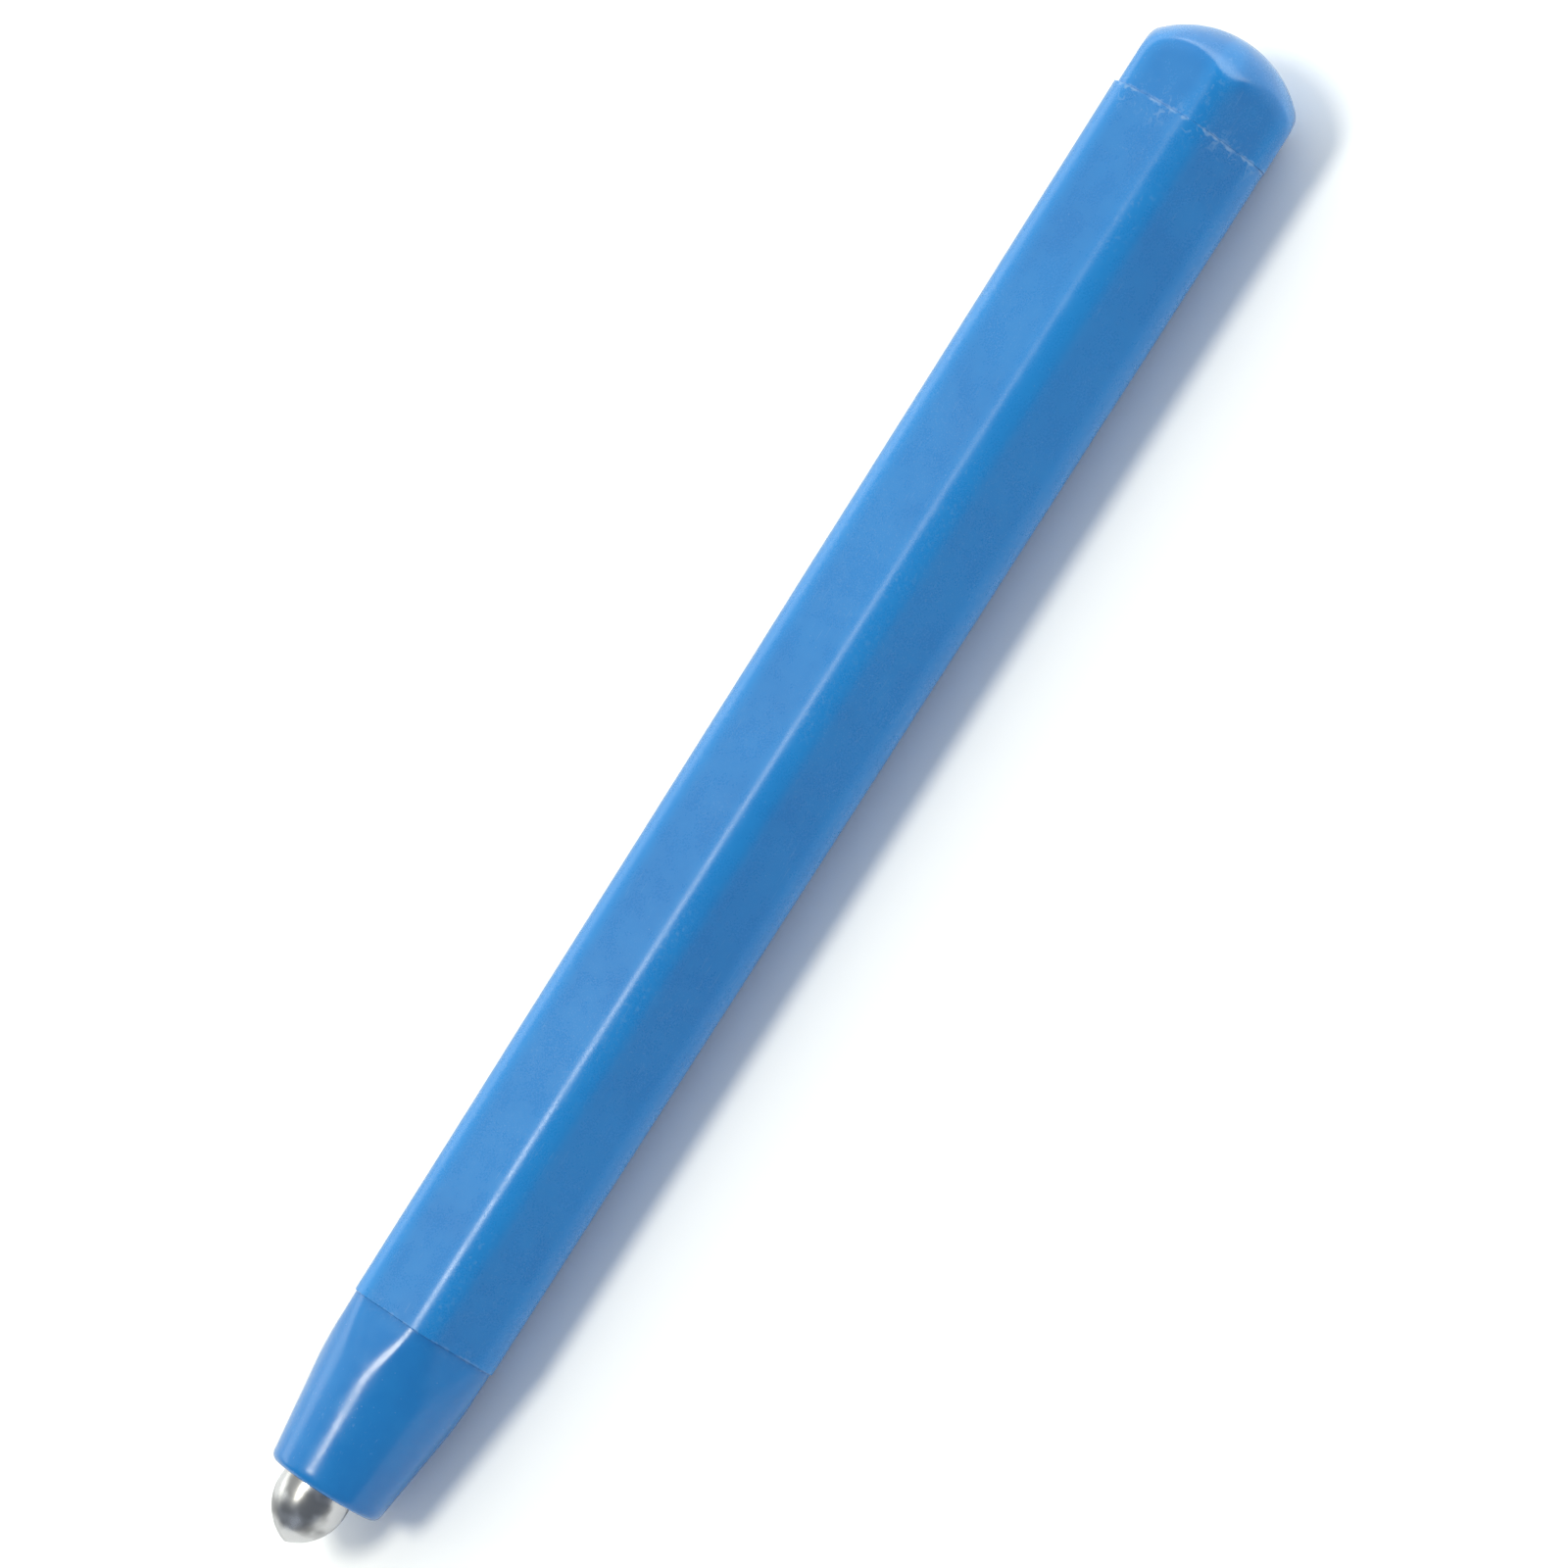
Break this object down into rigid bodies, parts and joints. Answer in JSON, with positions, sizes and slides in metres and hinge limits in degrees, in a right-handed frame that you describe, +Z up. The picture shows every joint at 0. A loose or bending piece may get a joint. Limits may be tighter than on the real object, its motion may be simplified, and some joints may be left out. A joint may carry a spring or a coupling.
{
  "type": "magnetic drawing stylus",
  "caption": "Six-sided tapered plastic stylus with a domed end cap, a conical nose and a sprung bullet-shaped steel tip backed by magnets.",
  "frame": {"origin": "middle of the pen's length and width, on the surface that it lies on", "axes": "-X towards the metal tip and +X towards the domed cap, +Z up out of the flat that faces up when the pen lies down, +Y to the left of a viewer who looks along +X; the pen's own axis rises 0.30 degrees towards +X because the barrel tapers"},
  "size_m": [0.1204, 0.0131, 0.0119],
  "materials": {
    "blue_plastic": "satin moulded",
    "polished_steel": "polished",
    "magnet_nickel": "nickel plated",
    "white_plastic": "moulded",
    "spring_steel": "drawn wire"
  },
  "bodies": {
    "barrel": {"barrel": "blue_plastic"},
    "end_cap": {"end_cap": "blue_plastic"},
    "nose": {"nose_cone": "blue_plastic", "spring_plug": "white_plastic", "tip_spring": "spring_steel"},
    "tip": {"tip": "polished_steel", "magnet_front": "magnet_nickel", "magnet_rear": "magnet_nickel", "magnet_carrier": "white_plastic"}
  },
  "joints": [
    {"name": "cap_pull", "type": "slide", "parent": "barrel", "child": "end_cap", "axis": [1, 0, 0.0052], "range_m": [0, 0.008]},
    {"name": "nose_pull", "type": "slide", "parent": "barrel", "child": "nose", "axis": [-1, 0, -0.0052], "range_m": [0, 0.012]},
    {"name": "tip_plunge", "type": "slide", "parent": "nose", "child": "tip", "axis": [1, 0, 0.0052], "range_m": [0, 0.0008], "stiffness_N_per_m": 600, "springref_m": -0.0009, "deforming": ["tip_spring"]}
  ]
}
